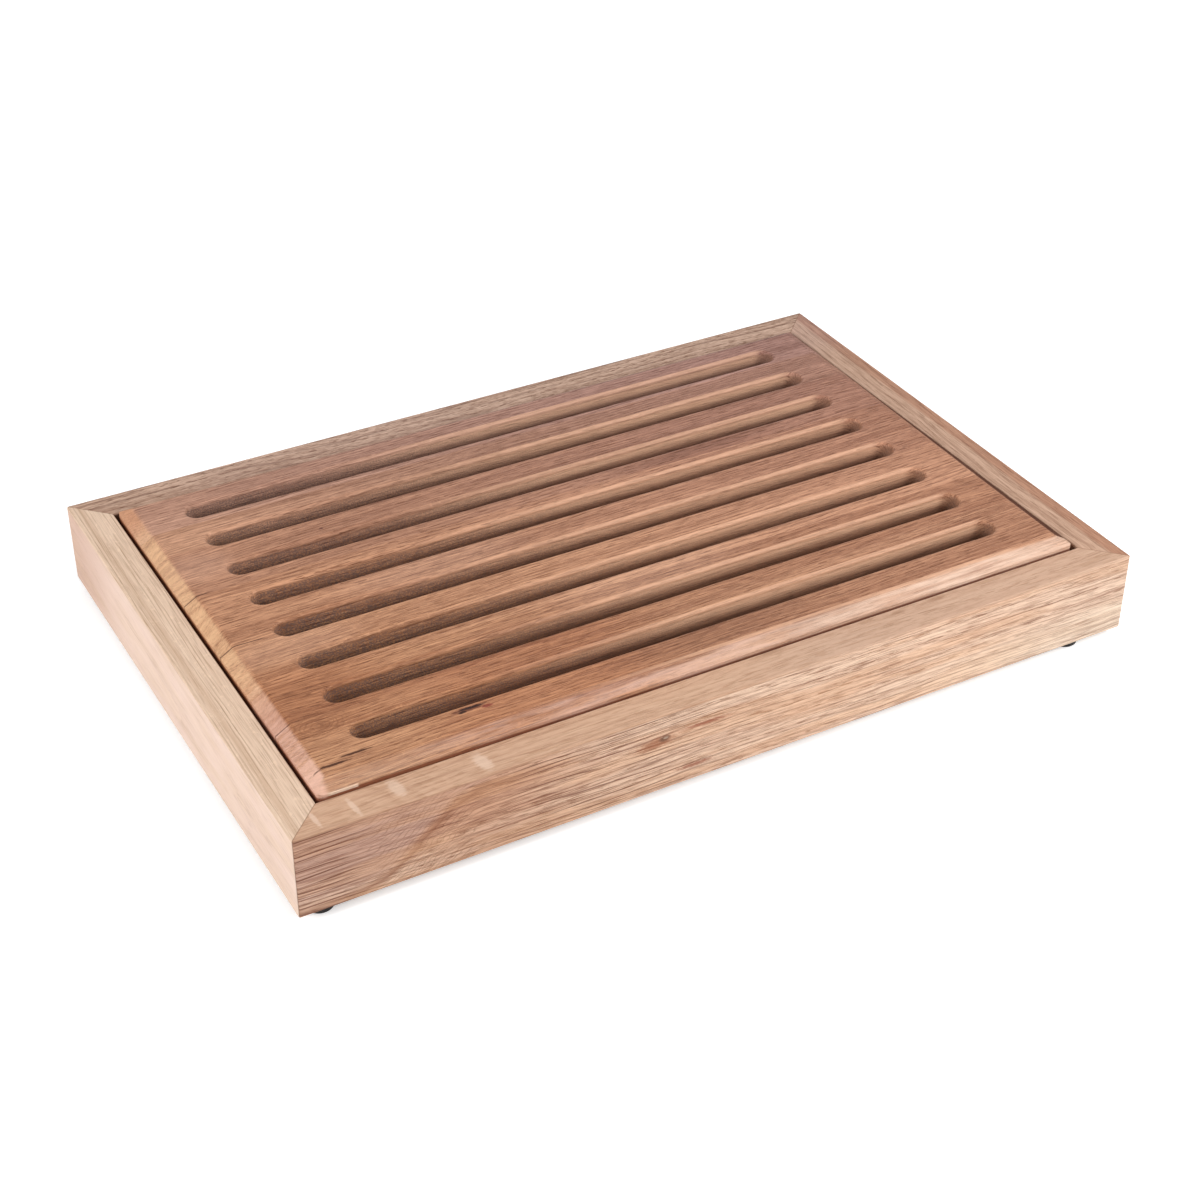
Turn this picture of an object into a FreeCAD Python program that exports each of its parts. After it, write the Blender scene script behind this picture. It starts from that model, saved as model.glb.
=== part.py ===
import FreeCAD, Part
import Sketcher
import os

# Bread board: a mitred oak tray for crumbs with a loose slotted board lying in it.
# Millimetres. +X runs along the length, -Y is the front, +Z is up.
# The origin is the centre of the footprint, on the surface that the feet stand on.

Vector = FreeCAD.Vector
doc = FreeCAD.newDocument("bread_board")

# Driving sizes

driving_sizes = [
    # Tray rails: outside size, stock section and eased edges
    ("tray_length", 480),
    ("tray_depth", 320),
    ("rail_width", 20),
    ("rail_height", 46),
    ("rail_arris", 0.7),
    ("rail_corner_extra", 0.4),
    # Crumb floor, loose in a groove of the rails
    ("floor_thickness", 5),
    ("floor_clearance", 0.3),
    ("floor_end_gap", 1),
    ("groove_depth", 6),
    ("groove_lift", 6),
    # Ledger strips that carry the slotted board
    ("ledger_width", 8),
    ("ledger_height", 8),
    ("ledger_chamfer", 1.5),
    # Dowels in the mitres; the cover is the wood left between a hole and the rail's outer face
    ("dowel_diameter", 6),
    ("dowel_length", 20),
    ("dowel_clearance", 0.1),
    ("dowel_end_gap", 0.5),
    ("dowel_chamfer", 0.6),
    ("dowel_cover", 2.9),
    # Rubber feet, stuck under the rails: the insets run from the tray's ends
    ("foot_diameter", 16),
    ("foot_tread_diameter", 14),
    ("foot_height", 5),
    ("foot_edge_radius", 1),
    ("foot_inset_left", 14),
    ("foot_inset_right", 30),
    # Slotted board: how it lies in the tray, its thickness and its bevel
    ("side_play", 2),
    ("front_play", 1.5),
    ("board_thickness", 20),
    ("board_rise", 6),
    ("board_corner_radius", 3),
    ("bevel_width", 7.4),
    ("bevel_height", 4.5),
    ("bevel_crown_radius", 4),
    # Slots: the margins run from the board's edges to the nearest slot
    ("slot_width", 13),
    ("slot_end_margin", 30.5),
    ("slot_front_margin", 25.1),
    ("slot_back_margin", 19.5),
    ("slot_rim_radius", 2),
    # Glue lines between the staves, front to back: how far behind the middle of the wood
    # between two slots each one is at the board's left end and at its right end
    ("glue_one_left", 3.75),
    ("glue_one_right", -0.75),
    ("glue_two_left", 2.9),
    ("glue_two_right", -1.1),
    ("glue_three_left", 12.85),
    ("glue_three_right", 6.95),
    ("glue_four_left", 0.85),
    ("glue_four_right", -4.15),
    ("glue_five_left", 11.5),
    ("glue_five_right", 6.5),
    ("glue_six_left", 3.15),
    ("glue_six_right", 5.65),
]
slot_count = 8

# The glue line between each two slots, from the front; the middle two have none between them
glue_line_names = ["one", "two", "three", "", "four", "five", "six"]

# Sizes that follow from the driving ones

derived_sizes = [
    ("opening_length", "=tray_length - 2 * rail_width"),
    ("opening_depth", "=tray_depth - 2 * rail_width"),
    ("rail_corner_radius", "=rail_arris + rail_corner_extra"),
    ("groove_height", "=floor_thickness + floor_clearance"),
    ("groove_top", "=groove_lift + groove_height"),
    ("dowel_hole_radius", "=dowel_diameter / 2 + dowel_clearance"),
    ("dowel_hole_depth", "=dowel_length / 2 + dowel_end_gap"),
    ("dowel_inset", "=dowel_cover + (dowel_hole_depth + dowel_hole_radius) * cos(45 deg)"),
    ("dowel_low_level", "=groove_top + (rail_height - groove_top) / 4"),
    ("dowel_high_level", "=groove_top + (rail_height - groove_top) * 3 / 4"),
    ("board_length", "=opening_length - 2 * side_play"),
    ("board_depth", "=opening_depth - 2 * front_play"),
    ("board_underside", "=foot_height + rail_height + board_rise - board_thickness"),
    ("bevel_level", "=board_thickness - bevel_height"),
    ("slot_straight", "=board_length - 2 * slot_end_margin - slot_width"),
    ("slot_row_run", "=board_depth - slot_front_margin - slot_back_margin - slot_width"),
    ("slot_pitch", "=slot_row_run / %d" % (slot_count - 1)),
    ("slot_first", "=slot_front_margin + slot_width / 2 - board_depth / 2"),
]

sizes = doc.addObject("Spreadsheet::Sheet", "Sizes")
for row, (alias, value) in enumerate(driving_sizes + derived_sizes, start=1):
    sizes.set("A%d" % row, alias)
    sizes.set("B%d" % row, str(value))
    sizes.setAlias("B%d" % row, alias)
doc.recompute()


def bind(thing, formulas):
    """Tie properties of a thing to formulas of the sheet's sizes."""
    for name, formula in formulas.items():
        thing.setExpression(name, formula)


answers = doc.addObject("Spreadsheet::Sheet", "Answers")


def measure(formula):
    """The number that a formula of the sheet's sizes gives now."""
    answers.set("A1", "=" + formula)
    answers.recompute()
    return float(answers.get("A1"))


def same(value, target):
    return abs(value - target) < 1e-4


# Bodies, sketches and features

def new_body(label):
    body = doc.addObject("PartDesign::Body", label)
    body.Label = label
    return body


def origin_plane(body, role):
    return next(feature for feature in body.Origin.OriginFeatures if feature.Role == role)


def new_sketch(body, name, role, level="0"):
    """A sketch on one of the body's own origin planes, raised by a formula."""
    sketch = body.newObject("Sketcher::SketchObject", name)
    sketch.AttachmentSupport = [(origin_plane(body, role), "")]
    sketch.MapMode = "FlatFace"
    bind(sketch, {"AttachmentOffset.Base.z": level})
    sketch.Visibility = False
    return sketch


def constrain(sketch, kind, *where):
    sketch.addConstraint(Sketcher.Constraint(kind, *where))


def dimension(sketch, name, formula, kind, *where):
    """A named dimension of a sketch, tied to a formula."""
    constrain(sketch, kind, *where, measure(formula))
    sketch.renameConstraint(sketch.ConstraintCount - 1, name)
    bind(sketch, {"Constraints." + name: formula})


def draw_polygon(sketch, points):
    """A closed run of lines through points, joined end to end."""
    corners = [Vector(x, y, 0) for x, y in points]
    lines = []
    for corner, following in zip(corners, corners[1:] + corners[:1]):
        lines.append(sketch.addGeometry(Part.LineSegment(corner, following)))
    for line, following in zip(lines, lines[1:] + lines[:1]):
        constrain(sketch, "Coincident", line, 2, following, 1)
    return lines


def draw_arc(sketch, centre, radius, start_degrees, sweep_degrees):
    points = []
    for share in (0, 0.5, 1):
        turn = FreeCAD.Rotation(Vector(0, 0, 1), start_degrees + share * sweep_degrees)
        points.append(Vector(*centre, 0) + turn.multVec(Vector(radius, 0, 0)))
    return sketch.addGeometry(Part.Arc(*points))


def draw_rectangle(sketch, length, depth):
    """A rectangle centred on the sketch's origin, its sizes tied to formulas."""
    x = measure(length) / 2
    y = measure(depth) / 2
    front, right, back, left = draw_polygon(sketch, [(-x, -y), (x, -y), (x, y), (-x, y)])
    for line in (front, back):
        constrain(sketch, "Horizontal", line)
    for line in (right, left):
        constrain(sketch, "Vertical", line)
    constrain(sketch, "Symmetric", front, 1, back, 1, -1, 1)
    dimension(sketch, "length", length, "DistanceX", front, 1, front, 2)
    dimension(sketch, "depth", depth, "DistanceY", right, 1, right, 2)


def draw_raised_rectangle(sketch, start, level, width, height):
    """A rectangle from a start along the sketch and a level above it, tied to formulas."""
    x = measure(start)
    y = measure(level)
    far_x = x + measure(width)
    far_y = y + measure(height)
    low, far, high, close = draw_polygon(sketch, [(x, y), (far_x, y), (far_x, far_y), (x, far_y)])
    for line in (low, high):
        constrain(sketch, "Horizontal", line)
    for line in (far, close):
        constrain(sketch, "Vertical", line)
    dimension(sketch, "start", start, "DistanceX", -1, 1, low, 1)
    dimension(sketch, "level", level, "DistanceY", -1, 1, low, 1)
    dimension(sketch, "width", width, "DistanceX", low, 1, low, 2)
    dimension(sketch, "height", height, "DistanceY", far, 1, far, 2)


def pad(body, name, sketch, length, midplane=False):
    feature = body.newObject("PartDesign::Pad", name)
    feature.Profile = sketch
    feature.Midplane = midplane
    bind(feature, {"Length": length})
    doc.recompute()
    return feature


def pocket(body, name, sketch, length, midplane=False, upwards=False):
    """A pocket, which has to take something away from the body."""
    before = body.Shape.Volume
    feature = body.newObject("PartDesign::Pocket", name)
    feature.Profile = sketch
    feature.Midplane = midplane
    feature.Reversed = upwards
    bind(feature, {"Length": length})
    doc.recompute()
    if not feature.Shape.Volume < before:
        raise RuntimeError(name + " cuts nothing")
    return feature


def ease(body, kind, name, size, wanted):
    """A fillet or chamfer on the edges of the body for which wanted(edge) is true."""
    base = body.Tip
    edges = ["Edge%d" % number for number, edge in enumerate(base.Shape.Edges, start=1) if wanted(edge)]
    if not edges:
        raise RuntimeError(name + " has no edges")
    feature = body.newObject("PartDesign::" + kind, name)
    feature.Base = (base, edges)
    bind(feature, {"Radius" if kind == "Fillet" else "Size": size})
    doc.recompute()
    return feature


def place(thing, x, y, z, rotation=FreeCAD.Rotation()):
    thing.Placement = FreeCAD.Placement(Vector(0, 0, 0), rotation)
    bind(thing, {"Placement.Base.x": x, "Placement.Base.y": y, "Placement.Base.z": z})


def turned(degrees):
    return FreeCAD.Rotation(Vector(0, 0, 1), degrees)


# Tray rails
# Each rail lies with its outer face on the local X axis and its inner face towards local +Y.
# Both ends are mitred, and the upright outer corners are rounded up to the mitre.

def draw_rail_outline(sketch, length):
    half = measure(length) / 2
    width = measure("Sizes.rail_width")
    radius = measure("Sizes.rail_corner_radius")
    reach = radius * (1 - measure("cos(45 deg)"))
    outer = sketch.addGeometry(Part.LineSegment(Vector(radius - half, 0, 0), Vector(half - radius, 0, 0)))
    right_turn = draw_arc(sketch, (half - radius, radius), radius, -90, 45)
    right_mitre = sketch.addGeometry(
        Part.LineSegment(Vector(half - reach, reach, 0), Vector(half - width, width, 0)))
    inner = sketch.addGeometry(Part.LineSegment(Vector(half - width, width, 0), Vector(width - half, width, 0)))
    left_mitre = sketch.addGeometry(
        Part.LineSegment(Vector(width - half, width, 0), Vector(reach - half, reach, 0)))
    left_turn = draw_arc(sketch, (radius - half, radius), radius, -135, 45)
    # The sharp corners before rounding, which guide the mitres.
    right_corner = sketch.addGeometry(Part.Point(Vector(half, 0, 0)), True)
    left_corner = sketch.addGeometry(Part.Point(Vector(-half, 0, 0)), True)
    constrain(sketch, "Tangent", outer, 2, right_turn, 1)
    constrain(sketch, "Tangent", left_turn, 2, outer, 1)
    constrain(sketch, "Coincident", right_turn, 2, right_mitre, 1)
    constrain(sketch, "Coincident", right_mitre, 2, inner, 1)
    constrain(sketch, "Coincident", inner, 2, left_mitre, 1)
    constrain(sketch, "Coincident", left_mitre, 2, left_turn, 1)
    constrain(sketch, "Symmetric", inner, 1, inner, 2, -2)
    constrain(sketch, "Symmetric", right_corner, 1, left_corner, 1, -2)
    constrain(sketch, "PointOnObject", right_corner, 1, -1)
    constrain(sketch, "PointOnObject", outer, 1, -1)
    constrain(sketch, "PointOnObject", outer, 2, -1)
    for corner, turn, mitre in ((right_corner, right_turn, right_mitre), (left_corner, left_turn, left_mitre)):
        constrain(sketch, "PointOnObject", corner, 1, mitre)
        constrain(sketch, "PointOnObject", turn, 3, mitre)
    dimension(sketch, "turn", "Sizes.rail_corner_radius", "Radius", right_turn)
    dimension(sketch, "length", length, "DistanceX", left_corner, 1, right_corner, 1)
    dimension(sketch, "inner_length", length + " - 2 * Sizes.rail_width", "DistanceX", inner, 2, inner, 1)
    dimension(sketch, "width", "Sizes.rail_width", "DistanceY", -1, 1, inner, 1)


def bore_mitres(body, name, length, level):
    """A dowel hole square to the right-hand mitre, and its mirror image in the other mitre."""
    before = body.Shape.Volume
    bore = body.newObject("PartDesign::SubtractiveCylinder", name)
    bore.AttachmentSupport = [(origin_plane(body, "XY_Plane"), "")]
    bore.MapMode = "FlatFace"
    inwards = FreeCAD.Rotation(Vector(0, 0, 1), Vector(-1, -1, 0))
    bore.AttachmentOffset = FreeCAD.Placement(Vector(0, 0, 0), inwards)
    bind(bore, {
        "Radius": "Sizes.dowel_hole_radius",
        "Height": "Sizes.dowel_hole_depth",
        "AttachmentOffset.Base.x": length + " / 2 - Sizes.dowel_inset",
        "AttachmentOffset.Base.y": "Sizes.dowel_inset",
        "AttachmentOffset.Base.z": level,
    })
    doc.recompute()
    mirror = body.newObject("PartDesign::Mirrored", name + "_mirror")
    mirror.Originals = [bore]
    mirror.MirrorPlane = (origin_plane(body, "YZ_Plane"), [""])
    body.Tip = mirror
    doc.recompute()
    one_hole = before - bore.Shape.Volume
    if not (one_hole > 0 and same((before - mirror.Shape.Volume) / one_hole, 2)):
        raise RuntimeError(name + " is not in both mitres")


def is_rail_arris(edge):
    """The long edges of a rail's outer face, and the upper long edge of its inner face."""
    box = edge.BoundBox
    level = box.XLength > 1 and same(box.YLength, 0) and same(box.ZLength, 0)
    outer = same(box.YMin, 0)
    inner_top = same(box.YMin, measure("Sizes.rail_width")) and same(box.ZMin, measure("Sizes.rail_height"))
    return level and (outer or inner_top)


def make_rail(label, length, x, y, turn):
    body = new_body(label)
    outline = new_sketch(body, label + "_outline", "XY_Plane")
    draw_rail_outline(outline, length)
    pad(body, label + "_blank", outline, "Sizes.rail_height")
    section = new_sketch(body, label + "_groove_section", "YZ_Plane")
    draw_raised_rectangle(section, "Sizes.rail_width - Sizes.groove_depth", "Sizes.groove_lift",
                          "Sizes.groove_depth", "Sizes.groove_height")
    pocket(body, label + "_groove", section, length, midplane=True)
    ease(body, "Fillet", label + "_arris", "Sizes.rail_arris", is_rail_arris)
    bore_mitres(body, label + "_low_bore", length, "Sizes.dowel_low_level")
    bore_mitres(body, label + "_high_bore", length, "Sizes.dowel_high_level")
    place(body, x, y, "Sizes.foot_height", turned(turn))
    return body


rails = [
    make_rail("front_rail", "Sizes.tray_length", "0", "-Sizes.tray_depth / 2", 0),
    make_rail("right_rail", "Sizes.tray_depth", "Sizes.tray_length / 2", "0", 90),
    make_rail("back_rail", "Sizes.tray_length", "0", "Sizes.tray_depth / 2", 180),
    make_rail("left_rail", "Sizes.tray_depth", "-Sizes.tray_length / 2", "0", 270),
]


# Crumb floor
# A thin panel that lies loose in the rails' grooves, short of their ends.

def make_floor():
    body = new_body("crumb_floor")
    outline = new_sketch(body, "floor_outline", "XY_Plane")
    tongues = " + 2 * (Sizes.groove_depth - Sizes.floor_end_gap)"
    draw_rectangle(outline, "Sizes.opening_length" + tongues, "Sizes.opening_depth" + tongues)
    pad(body, "floor_panel", outline, "Sizes.floor_thickness")
    place(body, "0", "0", "Sizes.foot_height + Sizes.groove_lift")
    return body


crumb_floor = make_floor()


# Ledger strips
# Glued to the rails' inner faces, the long ones corner to corner, the short ones between them.
# Each lies with its back on the local X axis and its face towards local +Y.

def is_ledger_lower_edge(edge):
    box = edge.BoundBox
    return same(box.YMin, measure("Sizes.ledger_width")) and same(box.ZMax, 0)


def make_ledger(label, length, x, y, turn):
    body = new_body(label)
    section = new_sketch(body, label + "_section", "YZ_Plane")
    draw_raised_rectangle(section, "0", "0", "Sizes.ledger_width", "Sizes.ledger_height")
    pad(body, label + "_strip", section, length, midplane=True)
    ease(body, "Chamfer", label + "_chamfer", "Sizes.ledger_chamfer", is_ledger_lower_edge)
    place(body, x, y, "Sizes.board_underside - Sizes.ledger_height", turned(turn))
    return body


short_ledger = "Sizes.opening_depth - 2 * Sizes.ledger_width"
ledgers = [
    make_ledger("ledger_front", "Sizes.opening_length", "0", "-Sizes.opening_depth / 2", 0),
    make_ledger("ledger_right", short_ledger, "Sizes.opening_length / 2", "0", 90),
    make_ledger("ledger_back", "Sizes.opening_length", "0", "Sizes.opening_depth / 2", 180),
    make_ledger("ledger_left", short_ledger, "-Sizes.opening_length / 2", "0", 270),
]


# Dowels
# Two in each mitre, square to it, half in each rail.
# A corner is its name, its side (left -1, right 1) and its end (front -1, back 1).

corners = [("front_left", -1, -1), ("front_right", 1, -1), ("back_left", -1, 1), ("back_right", 1, 1)]


def make_dowel(label, side, end, level):
    body = new_body(label)
    rod = body.newObject("PartDesign::AdditiveCylinder", label + "_rod")
    bind(rod, {"Radius": "Sizes.dowel_diameter / 2", "Height": "Sizes.dowel_length"})
    doc.recompute()
    ease(body, "Chamfer", label + "_chamfer", "Sizes.dowel_chamfer",
         lambda edge: isinstance(edge.Curve, Part.Circle))
    half_run = "Sizes.dowel_length / 2 * cos(45 deg)"
    place(body,
          "%d * (Sizes.tray_length / 2 - Sizes.dowel_inset - %s)" % (side, half_run),
          "%d * (Sizes.tray_depth / 2 - Sizes.dowel_inset + %s)" % (end, half_run),
          "Sizes.foot_height + " + level,
          FreeCAD.Rotation(Vector(0, 0, 1), Vector(side, -end, 0)))
    return body


dowels = []
for corner, side, end in corners:
    for height in ("low", "high"):
        label = "dowel_%s_%s" % (corner, height)
        dowels.append(make_dowel(label, side, end, "Sizes.dowel_%s_level" % height))


# Feet
# Round rubber feet, a little narrower at the tread, stuck flat under the rails' middles.

def make_foot(label, side, end, inset):
    body = new_body(label)
    profile = new_sketch(body, label + "_profile", "XZ_Plane")
    tread_radius = "Sizes.foot_tread_diameter / 2"
    top_radius = "Sizes.foot_diameter / 2"
    height = measure("Sizes.foot_height")
    rough = [(0, 0), (measure(tread_radius), 0), (measure(top_radius), height), (0, height)]
    tread, flank, top, middle = draw_polygon(profile, rough)
    constrain(profile, "Coincident", tread, 1, -1, 1)
    constrain(profile, "Horizontal", tread)
    constrain(profile, "Horizontal", top)
    constrain(profile, "Vertical", middle)
    dimension(profile, "tread", tread_radius, "DistanceX", tread, 1, tread, 2)
    dimension(profile, "top", top_radius, "DistanceX", top, 2, top, 1)
    dimension(profile, "height", "Sizes.foot_height", "DistanceY", middle, 2, middle, 1)
    revolved = body.newObject("PartDesign::Revolution", label + "_revolved")
    revolved.Profile = profile
    revolved.ReferenceAxis = (profile, ["V_Axis"])
    revolved.Angle = 360
    doc.recompute()
    ease(body, "Fillet", label + "_edge", "Sizes.foot_edge_radius",
         lambda edge: isinstance(edge.Curve, Part.Circle) and same(edge.BoundBox.ZMax, 0))
    place(body,
          "%d * (Sizes.tray_length / 2 - %s)" % (side, inset),
          "%d * (Sizes.tray_depth / 2 - Sizes.rail_width / 2)" % end,
          "0")
    return body


feet = []
for corner, side, end in corners:
    inset = "Sizes.foot_inset_left" if side < 0 else "Sizes.foot_inset_right"
    feet.append(make_foot("foot_" + corner, side, end, inset))


# Slotted board, machined as one glued blank
# Its underside is at local zero. The blank is squared, bevelled, rounded at its upright
# corners, routed with the row of slots and eased round the slots' upper rims.

def draw_rounded_rectangle(sketch, length, depth, radius):
    """A centred rectangle with round corners, its sizes tied to formulas."""
    turn = measure(radius)
    x = measure(length) / 2 - turn
    y = measure(depth) / 2 - turn
    sides = [
        (Vector(-x, -y - turn, 0), Vector(x, -y - turn, 0)),
        (Vector(x + turn, -y, 0), Vector(x + turn, y, 0)),
        (Vector(x, y + turn, 0), Vector(-x, y + turn, 0)),
        (Vector(-x - turn, y, 0), Vector(-x - turn, -y, 0)),
    ]
    lines = [sketch.addGeometry(Part.LineSegment(*side)) for side in sides]
    arcs = []
    for quarter, centre in enumerate([(x, -y), (x, y), (-x, y), (-x, -y)]):
        arcs.append(draw_arc(sketch, centre, turn, quarter * 90 - 90, 90))
    for line, arc, following in zip(lines, arcs, lines[1:] + lines[:1]):
        constrain(sketch, "Tangent", line, 2, arc, 1)
        constrain(sketch, "Tangent", arc, 2, following, 1)
    for arc in arcs[1:]:
        constrain(sketch, "Equal", arcs[0], arc)
    constrain(sketch, "Horizontal", lines[0])
    constrain(sketch, "Vertical", lines[1])
    constrain(sketch, "Symmetric", arcs[0], 3, arcs[2], 3, -1, 1)
    dimension(sketch, "corner", radius, "Radius", arcs[0])
    dimension(sketch, "centres_x", length + " - 2 * " + radius, "DistanceX", arcs[3], 3, arcs[0], 3)
    dimension(sketch, "centres_y", depth + " - 2 * " + radius, "DistanceY", arcs[0], 3, arcs[1], 3)


def draw_slot(sketch):
    """The front slot, with round ends."""
    half = measure("Sizes.slot_straight") / 2
    middle = measure("Sizes.slot_first")
    radius = measure("Sizes.slot_width") / 2
    low = middle - radius
    high = middle + radius
    front = sketch.addGeometry(Part.LineSegment(Vector(-half, low, 0), Vector(half, low, 0)))
    right_end = draw_arc(sketch, (half, middle), radius, -90, 180)
    back = sketch.addGeometry(Part.LineSegment(Vector(half, high, 0), Vector(-half, high, 0)))
    left_end = draw_arc(sketch, (-half, middle), radius, 90, 180)
    constrain(sketch, "Tangent", front, 2, right_end, 1)
    constrain(sketch, "Tangent", right_end, 2, back, 1)
    constrain(sketch, "Tangent", back, 2, left_end, 1)
    constrain(sketch, "Tangent", left_end, 2, front, 1)
    constrain(sketch, "Symmetric", left_end, 3, right_end, 3, -2)
    dimension(sketch, "end_radius", "Sizes.slot_width / 2", "Radius", right_end)
    dimension(sketch, "straight", "Sizes.slot_straight", "DistanceX", left_end, 3, right_end, 3)
    dimension(sketch, "row", "Sizes.slot_first", "DistanceY", -1, 1, right_end, 3)


def make_slot_row(body):
    before = body.Shape.Volume
    outline = new_sketch(body, "slot_outline", "XY_Plane")
    draw_slot(outline)
    slot = pocket(body, "slot", outline, "Sizes.board_thickness", upwards=True)
    row = body.newObject("PartDesign::LinearPattern", "slot_row")
    row.Originals = [slot]
    row.Direction = (outline, ["V_Axis"])
    row.Occurrences = slot_count
    bind(row, {"Length": "Sizes.slot_row_run"})
    body.Tip = row
    doc.recompute()
    one_slot = before - slot.Shape.Volume
    if not same((before - row.Shape.Volume) / one_slot, slot_count):
        raise RuntimeError("the row of slots is not whole")


def is_crown_edge(edge):
    return same(edge.BoundBox.ZMin, measure("Sizes.board_thickness"))


def is_slot_rim(edge):
    ends_at_slot = all(same(abs(vertex.X), measure("Sizes.slot_straight") / 2) for vertex in edge.Vertexes)
    return is_crown_edge(edge) and ends_at_slot


def make_board_blank():
    body = new_body("board_blank")
    outline = new_sketch(body, "board_outline", "XY_Plane")
    draw_rectangle(outline, "Sizes.board_length", "Sizes.board_depth")
    pad(body, "board_base", outline, "Sizes.bevel_level")

    bevel_foot = new_sketch(body, "bevel_foot", "XY_Plane", "Sizes.bevel_level")
    draw_rectangle(bevel_foot, "Sizes.board_length", "Sizes.board_depth")
    bevel_head = new_sketch(body, "bevel_head", "XY_Plane", "Sizes.board_thickness")
    bevels = " - 2 * Sizes.bevel_width"
    draw_rectangle(bevel_head, "Sizes.board_length" + bevels, "Sizes.board_depth" + bevels)
    bevel = body.newObject("PartDesign::AdditiveLoft", "board_bevel")
    bevel.Profile = bevel_foot
    bevel.Sections = [bevel_head]
    bevel.Ruled = True
    doc.recompute()

    # The waste outside the rounded outline is cut away.
    waste = new_sketch(body, "corner_waste", "XY_Plane")
    draw_rectangle(waste, "2 * Sizes.board_length", "2 * Sizes.board_depth")
    waste.renameConstraint(waste.ConstraintCount - 2, "waste_length")
    waste.renameConstraint(waste.ConstraintCount - 1, "waste_depth")
    draw_rounded_rectangle(waste, "Sizes.board_length", "Sizes.board_depth", "Sizes.board_corner_radius")
    pocket(body, "rounded_corners", waste, "Sizes.board_thickness", upwards=True)

    ease(body, "Fillet", "bevel_crown", "Sizes.bevel_crown_radius", is_crown_edge)
    make_slot_row(body)
    ease(body, "Fillet", "slot_rims", "Sizes.slot_rim_radius", is_slot_rim)
    return body


board_blank = make_board_blank()


# Staves
# Each stave is the stretch of the machined blank between two glue lines, which run a
# little off the board's length. Places are measured from the board's front left corner.

front_edge = ("0", "0")
back_edge = ("Sizes.board_depth", "Sizes.board_depth")
glue_lines = []
for slots_behind, name in enumerate(glue_line_names):
    between_slots = "Sizes.board_depth / 2 + Sizes.slot_first + %g * Sizes.slot_pitch" % (slots_behind + 0.5)
    if name:
        ends = ["%s + Sizes.glue_%s_%s" % (between_slots, name, end) for end in ("left", "right")]
        glue_lines.append(tuple(ends))
stave_edges = [front_edge] + glue_lines + [back_edge]


def make_stave(label, front_line, back_line):
    strip = new_body(label + "_strip")
    outline = new_sketch(strip, label + "_outline", "XY_Plane")
    length = measure("Sizes.board_length")
    rough = [
        (0, measure(front_line[0])),
        (length, measure(front_line[1])),
        (length, measure(back_line[1])),
        (0, measure(back_line[0])),
    ]
    front, right, back, left = draw_polygon(outline, rough)
    constrain(outline, "Vertical", right)
    constrain(outline, "Vertical", left)
    constrain(outline, "PointOnObject", front, 1, -2)
    dimension(outline, "length", "Sizes.board_length", "DistanceX", -1, 1, right, 1)
    if front_line == front_edge:
        constrain(outline, "PointOnObject", front, 1, -1)
        constrain(outline, "PointOnObject", front, 2, -1)
    else:
        dimension(outline, "front_left", front_line[0], "DistanceY", -1, 1, front, 1)
        dimension(outline, "front_right", front_line[1], "DistanceY", -1, 1, front, 2)
    dimension(outline, "back_left", back_line[0], "DistanceY", -1, 1, back, 2)
    dimension(outline, "back_right", back_line[1], "DistanceY", -1, 1, back, 1)
    pad(strip, label + "_depth", outline, "Sizes.board_thickness")
    place(strip, "-Sizes.board_length / 2", "-Sizes.board_depth / 2", "0")
    stave = doc.addObject("Part::Common", label)
    stave.Label = label
    stave.Base = board_blank
    stave.Tool = strip
    place(stave, "0", "0", "Sizes.board_underside")
    return stave


staves = []
for number, (front_line, back_line) in enumerate(zip(stave_edges, stave_edges[1:]), start=1):
    staves.append(make_stave("stave_%d" % number, front_line, back_line))
doc.recompute()


# Checks and files

for thing in doc.Objects:
    if "Invalid" in thing.State or "Error" in thing.State:
        raise RuntimeError("%s failed: %s" % (thing.Label, thing.getStatusString()))

sub_parts = rails + [crumb_floor] + ledgers + dowels + feet + staves
for sub_part in sub_parts:
    shape = sub_part.Shape
    if shape.isNull() or not shape.isValid() or len(shape.Solids) != 1:
        raise RuntimeError(sub_part.Label + " is not one sound solid")

os.makedirs("parts", exist_ok=True)
for sub_part in sub_parts:
    sub_part.Shape.exportStep(os.path.join("parts", sub_part.Label + ".step"))
    box = sub_part.Shape.BoundBox
    print("%-24s %9.0f mm3  x %7.1f %7.1f  y %7.1f %7.1f  z %5.1f %5.1f" % (
        sub_part.Label, sub_part.Shape.Volume,
        box.XMin, box.XMax, box.YMin, box.YMax, box.ZMin, box.ZMax))
print(len(sub_parts), "sub-parts")
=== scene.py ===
import math

import bpy
from mathutils import Matrix, Vector

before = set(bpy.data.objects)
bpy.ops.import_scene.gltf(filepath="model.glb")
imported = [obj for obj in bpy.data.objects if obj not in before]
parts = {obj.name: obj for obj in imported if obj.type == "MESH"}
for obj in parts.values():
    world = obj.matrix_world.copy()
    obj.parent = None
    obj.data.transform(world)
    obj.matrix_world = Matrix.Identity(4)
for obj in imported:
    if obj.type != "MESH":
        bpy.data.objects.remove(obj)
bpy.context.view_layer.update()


# Tray rails
# Four lengths of oak, planed square, grooved inside for the floor and mitred at 45 degrees.
# They are glued and dowelled at the mitres, their arrises just broken, and rubbed with oil.

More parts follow.
